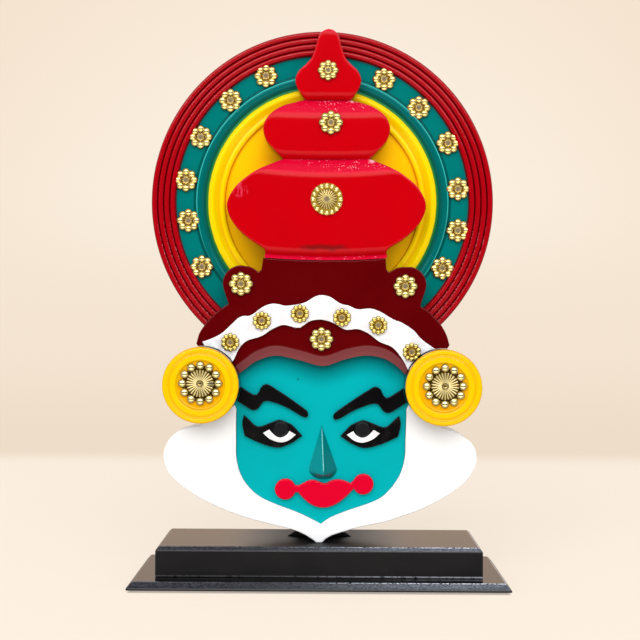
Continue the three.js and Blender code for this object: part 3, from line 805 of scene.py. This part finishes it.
print("crown")
crown = {                                      # half outlines and front sections run upward
    "low": {"centre": 2.2, "arch": 2,
            "half": [(36.3, 170.7), (36.4, 175), (45.4, 181.1), (52.5, 187.4), (57.1, 194.2), (58.9, 201),
                     (57.3, 206.9), (52.5, 213.7), (44, 220.5), (35.5, 225.2), (26.4, 229.3), (22, 231.4)],
            "section": [(170.7, -16.4), (172.5, -16.9), (173.1, -18.2), (174, -19.8), (175.4, -20.8),
                        (177.6, -21.3), (181, -21.5), (215.5, -21.5), (218, -21.35), (220, -20.9), (221.8, -20.1),
                        (223.3, -19.1), (226.4, -16.5), (229.5, -13.9), (231.4, -12.3)]},
    "middle": {"centre": 1.9, "arch": 1,
               "half": [(25.6, 229.5), (27.6, 231.2), (30.9, 234.3), (35.7, 239.9), (37.7, 246.7), (36.3, 252.3),
                        (32, 257.4), (25.2, 261.9), (14.6, 265.2), (10, 267.4)],
               "section": [(229.5, -14.6), (230, -15.8), (231, -17), (232.4, -17.9), (234.4, -18.4), (236, -18.5),
                           (251.5, -18.5), (254, -18.3), (256, -17.8), (257.6, -17.1), (259, -16.1),
                           (262.2, -13.6), (265.2, -11.2), (267.4, -9.6)]},
    "finial": {"centre": 2.6, "arch": 0,
               "half": [(13.6, 265.2), (15, 266.7), (17.4, 270), (19.4, 274.5), (19.4, 278), (17.5, 282.1),
                        (13.6, 285.8), (10.2, 289.8), (7.8, 296.3), (6.4, 301.5), (4.4, 305.1), (2.2, 306.8),
                        (0.4, 307.25)],
               "section": [(265.2, -12), (265.8, -13.4), (266.8, -14.7), (268.4, -15.6), (270.4, -16),
                           (302, -16), (305.2, -15.8), (306.6, -15.2), (307.3, -14.2)]},
    "archReach": 37, "archFrom": 200, "sagTo": 190, "edge": 1.25, "edgeDepth": 1, "back": 2, "step": 0.9,
    "columns": 26,
    "foot": {"half": 36.3, "centre": 2.2, "low": 170.3, "high": 173, "lowFront": -18.5, "highFront": -16.9},
}


def pinholesAndGlints(paint, coat):                     # bubbles in the paint on the crown's upward slopes, more at the right, painted pale as they glint; and painted highlights at two notch corners
    slope = paint.smooth(paint.nz, 0.4, 0.55)
    where = paint.smooth(paint.x + paint.wobble(9, 60), -26, 22) * paint.smooth(paint.noise(4), 0.45, 0.6)
    dots = paint.specks(1.25, 0.4) * where
    # painted highlights at two notch corners
    corner = paint.maths("MAXIMUM", paint.mark(30.5, 251.3, 1.6, 0.8), paint.mark(18.5, 287.2, 1.1, 0.8))
    return paint.mix(paint.maths("MAXIMUM", dots, corner) * slope, coat, tone(255, 178, 190))


def scuffAndReflection(paint, coat):                        # a worn streak, and a dark painted reflection across the bottom of the low tier
    scratch = paint.mark(-47.6, 232.5, 4.2, 0.3) * paint.smooth(paint.noise(1.3, stretch=(1, 1, 0.3)), 0.5, 0.62)
    coat = paint.mix(scratch * 0.75, coat, tone(209, 57, 81))
    # painted reflection: a dark brownish band across the bottom of the low tier's front, as the room reflects there
    flat = paint.smooth(abs(paint.z + paint.wobble(6, 3) - 198.8), 2.4, 0.6)
    across = paint.smooth(abs(paint.x + paint.wobble(5, 8) - 2), 17, 8)
    return paint.mix(flat * across * 0.7, coat, tone(96, 19, 18))


# painted highlight: the crown's upward slopes take the pinker raised colour; its sides a darker red as painted shade
crownRed = enamel("crownRed", (188, 0, 10), (183, 0, 11), (120, 0, 10), 0.08, (206, 6, 46),
                  touches=(pinholesAndGlints, scuffAndReflection), sheen=0.12)


def sectionAt(section, z):                     # the front's depth at a height, read off a smooth section
    for (lowZ, lowY), (highZ, highY) in zip(section, section[1:]):
        if z <= highZ:
            return lowY + (highY - lowY) * max(0, (z - lowZ) / (highZ - lowZ))
    return section[-1][1]


def liftAt(tier, x, z):                        # how far the front's lines rise or dip at a place
    if z > crown["archFrom"]:
        return tier["arch"] * (x / crown["archReach"]) ** 2
    return sagging(x + head["sagCentre"], 0) if z < crown["sagTo"] else 0


def tierSlice(tier, section, half, z, steep):  # one level of a tier: soft sides and front, then its back
    width = min(crown["edge"] / max(steep, 0.42), half * 0.9)
    turns = [math.pi / 2 * step / 5 for step in range(6)]
    side = [(half - width * (1 - math.cos(turn)), crown["edgeDepth"] * (1 - math.sin(turn))) for turn in turns]
    inner = half - width
    across = [(inner * (1 - 2 * step / crown["columns"]), 0) for step in range(1, crown["columns"])]
    level = [(tier["centre"] + x, sectionAt(section, z - liftAt(tier, x, z)) + drop)
             for x, drop in side + across + [(-x, drop) for x, drop in side[::-1]]]
    level += [(tier["centre"] + sign * half, crown["back"]) for sign in (-1, 1)]
    return [(*place(x, z), depth) for x, depth in level]


def tierShell(bm, tier):
    section = [tuple(point) for point in curve([Vector(point) for point in tier["section"]], 0.4, closed=False)]
    line = curve([Vector(point) for point in tier["half"]], crown["step"], closed=False)
    edges = []
    for index, (half, z) in enumerate(line):
        along = line[min(index + 1, len(line) - 1)] - line[max(index - 1, 0)]
        verts = [bm.verts.new((x, depth, height)) for x, height, depth
                 in tierSlice(tier, section, half, z, abs(along.y) / along.length)]
        edges.append([bm.edges.new(pair) for pair in zip(verts, verts[1:] + verts[:1])])
    for first, last in zip(edges, edges[1:]):
        bmesh.ops.bridge_loops(bm, edges=first + last)
    capped(bm, edges[0], edges[-1])


def buildCrown():
    bm = bmesh.new()
    for name in ("low", "middle", "finial"):
        tierShell(bm, crown[name])
    foot = crown["foot"]
    across = [foot["centre"] + foot["half"] * (step / 12 - 1) for step in range(25)]
    low = [Vector(place(x, sagging(x, foot["low"]))) for x in across]
    high = [Vector(place(x, sagging(x, foot["high"]))) for x in across]
    outline = low + high[::-1]
    depths = [foot["lowFront"]] * len(low) + [foot["highFront"]] * len(high)
    edges = bridged(bm, [(outline, crown["back"]), (outline, depths)])
    capped(bm, edges[0])
    bottom, top = edges[1][:len(low) - 1], edges[1][len(low):-1]
    bmesh.ops.bridge_loops(bm, edges=bottom + top)
    piece = meshObject(bm, "crownBlock")
    cut(piece, haloSeat(), True)
    addPiece(piece, "crown_block", crownRed, 30)


buildCrown()

print("features")
nose = {
    "foot": [(0.7, 71.3), (-6.9, 45), (-6.6, 42.2), (-3.2, 38.9), (2.8, 37.7), (7.8, 39.2), (10.4, 42.8), (10.4, 45)],
    "tip": (2.2, 41.6), "seat": -10.3, "height": 8.5,
}


def plateLowSheen(paint, coat):                         # painted reflection: a patchy brown sheen low on the eye plates
    low = paint.smooth(paint.noise(7), 0.5, 0.75) * paint.smooth(paint.z, 110, 96)
    return paint.mix(low * 0.3, coat, tone(44, 40, 39))


# painted reflection: the black plates' sides are paler, as the floor lights them
plateBlack = enamel("plateBlack", (11, 10, 12), (18, 17, 17), (58, 54, 52), 0.16, touches=(plateLowSheen,), backs=False,
                    level=0.12)
lipRed = enamel("lipRed", (217, 0, 42), (213, 0, 40), (139, 5, 23), 0.14)
pupilBlack = enamel("pupilBlack", (29, 29, 31), (26, 26, 28), (24, 24, 26), 0.2, backs=False)


def buildNose():                               # a pyramid from the brow to a proud tip, its edges a little soft
    foot = [Vector(place(x, z)) for x, z in nose["foot"]]
    outline = curve(foot, 0.6, (0, 1, 7))
    tip = Vector(place(*nose["tip"]))
    rings = []
    for share in (0, 0.2, 0.4, 0.6, 0.8, 0.9, 0.95, 0.985):
        rise = share if share < 0.9 else 0.9 + (share - 0.9) * 0.8   # a little blunt at the tip
        rings.append(([point.lerp(tip, share) for point in outline], nose["seat"] - nose["height"] * rise))
    addPiece(solid(rings), "nose", faceTeal, 30)


def buildFeatures():
    for side in ("left", "right"):
        addPiece(board("brow_" + side, 0.45), "brow_" + side, plateBlack)
        addPiece(board("eye_" + side, 0.45), "eye_" + side, plateBlack)
        addPiece(board("eye_white_" + side, 0.25, 0.05), "eye_white_" + side, beardWhite)
        addPiece(eased("pupil_" + side, 0.2), "pupil_" + side, pupilBlack)
    addPiece(board("lips", 0.8), "lips", lipRed)


buildFeatures()
buildNose()

print("rosettes")
rosettes = {                                   # radii in mm; the beads' ring is at "reach"
    "small": {"radius": 7.1, "lobes": 8, "bead": 2.2, "reach": 4.95, "lift": 1.7, "inner": 1.75, "steps": 128,
              "matt": 0.06, "gold": 0.5},
    "finial": {"radius": 6.1, "lobes": 8, "bead": 1.9, "reach": 4.25, "lift": 1.6, "inner": 1.55, "steps": 128,
               "matt": 0.06, "gold": 0.5},
    "band": {"radius": 5.5, "lobes": 10, "bead": 1.38, "reach": 4.15, "lift": 1.5, "inner": 1.7, "steps": 120,
             "matt": 0.06, "gold": 0.75},
    "large": {"radius": 9.5, "domed": True, "lobes": 16, "bead": 1.2, "reach": 8, "lift": 1.3, "inner": 2,
              "steps": 220, "shade": 2.5, "ribs": 22, "ribEnd": 5.7, "ribWidth": 0.3},
    "ear": {"radius": 12.4, "lobes": 12, "bead": 2.35, "reach": 10.6, "lift": 1.9, "inner": 2.1, "steps": 234,
            "ribs": 26, "ribEnd": 7.9, "ribWidth": 0.5, "gold": 0.2},
}


def brass():                                   # bright stamped brass, dark in its hollows and, as painted shade, on the beads' rims; dull in the middle
    paint = Paint("rosetteBrass", {"Specular IOR Level": 0.5})
    hollow, dull, gold, matt = (paint.node("Attribute", {"attribute_name": name}, {}, "Fac")
                                for name in ("hollow", "dull", "gold", "matt"))
    tarnish = paint.noise(1.4, detail=3)
    metal = paint.mix(paint.smooth(tarnish, 0.3, 0.7), tone(252, 240, 188), tone(243, 224, 148))
    metal = paint.mix(gold, metal, tone(236, 202, 84))
    metal = paint.mix(hollow, metal, paint.mix(gold, tone(92, 66, 8), tone(120, 88, 4)))
    smudge = paint.mark(-63.5, 118.2, 1.7)
    metal = paint.mix(smudge * 0.85, metal, tone(96, 88, 64))
    felt = paint.mix(paint.noise(0.7), tone(134, 114, 80), tone(88, 72, 50))
    paint.set("Metallic", (1 - dull) * (0.95 - matt * 0.6))
    return paint.finish(paint.mix(dull, metal, felt), 0.13 + hollow * 0.2 + dull * 0.45 + (tarnish - 0.5) * 0.08,
                        tarnish, 0.06, 0.06)


rosetteBrass = brass()


def beadTop(gap):                              # a ball's height over its rim, for its radius 1, a little pointed
    steep = math.radians(37)
    return (math.log(math.cos(0.12 + steep * gap)) - math.log(math.cos(0.12 + steep))) / steep


def relief(style, radius, turn):               # height above the seat, how hollow (painted shade on the beads' rims) and how dull, at a polar place
    lobe = math.tau / style["lobes"]
    off = (turn + lobe / 2) % lobe - lobe / 2
    gap = math.hypot(radius * math.cos(off) - style["reach"], radius * math.sin(off)) / style["bead"]
    lift, inner, domed = style["lift"], style["inner"], "domed" in style
    if gap < 1:
        # a bead: its rim is darkened as painted shade
        return lift + style["bead"] * beadTop(gap), max(0, gap - 0.82) * style.get("shade", 5), 0
    if "ribs" not in style:                    # a ring round a dull flat centre, and a hollow outside it
        if radius < inner:
            return lift + 0.1, 0.3 * (radius / inner) ** 4, 1 - (radius / inner) ** 8
        rim = math.exp(-((radius - inner - 0.25) / 0.35) ** 2)
        return lift - 0.5 + 0.9 * rim, 0.85 * (1 - rim), 0
    if radius > style["ribEnd"] + 0.2:         # the plate under the beads
        return (lift + 0.5, 0 if radius > 9.1 else 0.6, 0) if domed else (lift - 0.3, 1, 0)
    if radius < inner:                         # the cup in the middle
        share = radius / inner
        if domed:
            return lift + 1.1, 0, 1 - share ** 6
        return lift + 0.3 + 1.2 * share ** 2, 1.3 - share if share < 0.35 else 0.45, 0
    pitch = math.tau / style["ribs"]
    side = ((turn + pitch / 2) % pitch - pitch / 2) * radius / style["ribWidth"]
    ridge = math.sqrt(max(0, 1 - side * side))
    dome = 0.8 * (1 - (radius / style["ribEnd"]) ** 2) if domed else 0.7
    return lift - 0.2 + dome + 0.8 * style["ribWidth"] * ridge, 1.1 * (1 - ridge) ** 0.6, 0


def rosetteShell(style, node):
    low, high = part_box(node)
    x, z, seat = (low.x + high.x) / 2 / mm, (low.z + high.z) / 2 / mm, high.y / mm
    lobe, domed = math.tau / style["lobes"], "domed" in style
    rings = round(style["radius"] / 0.34)      # about a third of a millimetre apart
    bm = bmesh.new()
    hollow, dull, gold, matt = (bm.verts.layers.float.new(name) for name in ("hollow", "dull", "gold", "matt"))
    verts = [bm.verts.new((index / rings, 0, 0)) for index in range(rings + 1)]
    edges = [bm.edges.new(pair) for pair in zip(verts, verts[1:])]
    bmesh.ops.spin(bm, geom=verts + edges, cent=(0, 0, 0), axis=(0, 1, 0), angle=math.tau,
                   steps=style["steps"], use_merge=True)
    bmesh.ops.remove_doubles(bm, verts=bm.verts, dist=1e-5)
    rim = [line for line in bm.edges if line.is_boundary]
    for vert in bm.verts:
        turn = math.atan2(vert.co.x, vert.co.z)
        off = (turn + lobe / 2) % lobe - lobe / 2
        across = style["reach"] * math.sin(off)
        edge = style["reach"] * math.cos(off) + math.sqrt(max(0.02, style["bead"] ** 2 - across ** 2))
        edge = max(edge, style["radius"] - (0.1 if domed else 5))
        radius = math.hypot(vert.co.x, vert.co.z) * edge
        height, vert[hollow], vert[dull] = relief(style, radius, turn)
        ribbed = style["inner"] < radius < style.get("ribEnd", 0)
        sunk = domed and vert[hollow] > 0.1
        vert[gold] = (0.6 if ribbed else 1) if sunk else style.get("gold", 0)
        vert[matt] = 1 if ribbed else 0.8 if sunk else style.get("matt", 0)
        vert.co = (x + radius * math.sin(turn), seat - height, z + radius * math.cos(turn))
    wall = bmesh.ops.extrude_edge_only(bm, edges=rim)["geom"]
    for vert in wall:
        if isinstance(vert, bmesh.types.BMVert):
            vert.co.y = seat
    capped(bm, [line for line in wall if isinstance(line, bmesh.types.BMEdge) and line.is_boundary])
    return bm


def buildRosettes():
    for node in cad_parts:
        if node.startswith("rosette"):
            kind = next((kind for kind in ("band", "ear", "large", "finial") if kind in node.split("_")), "small")
            addPiece(rosetteShell(rosettes[kind], node), node, rosetteBrass, 60)


buildRosettes()
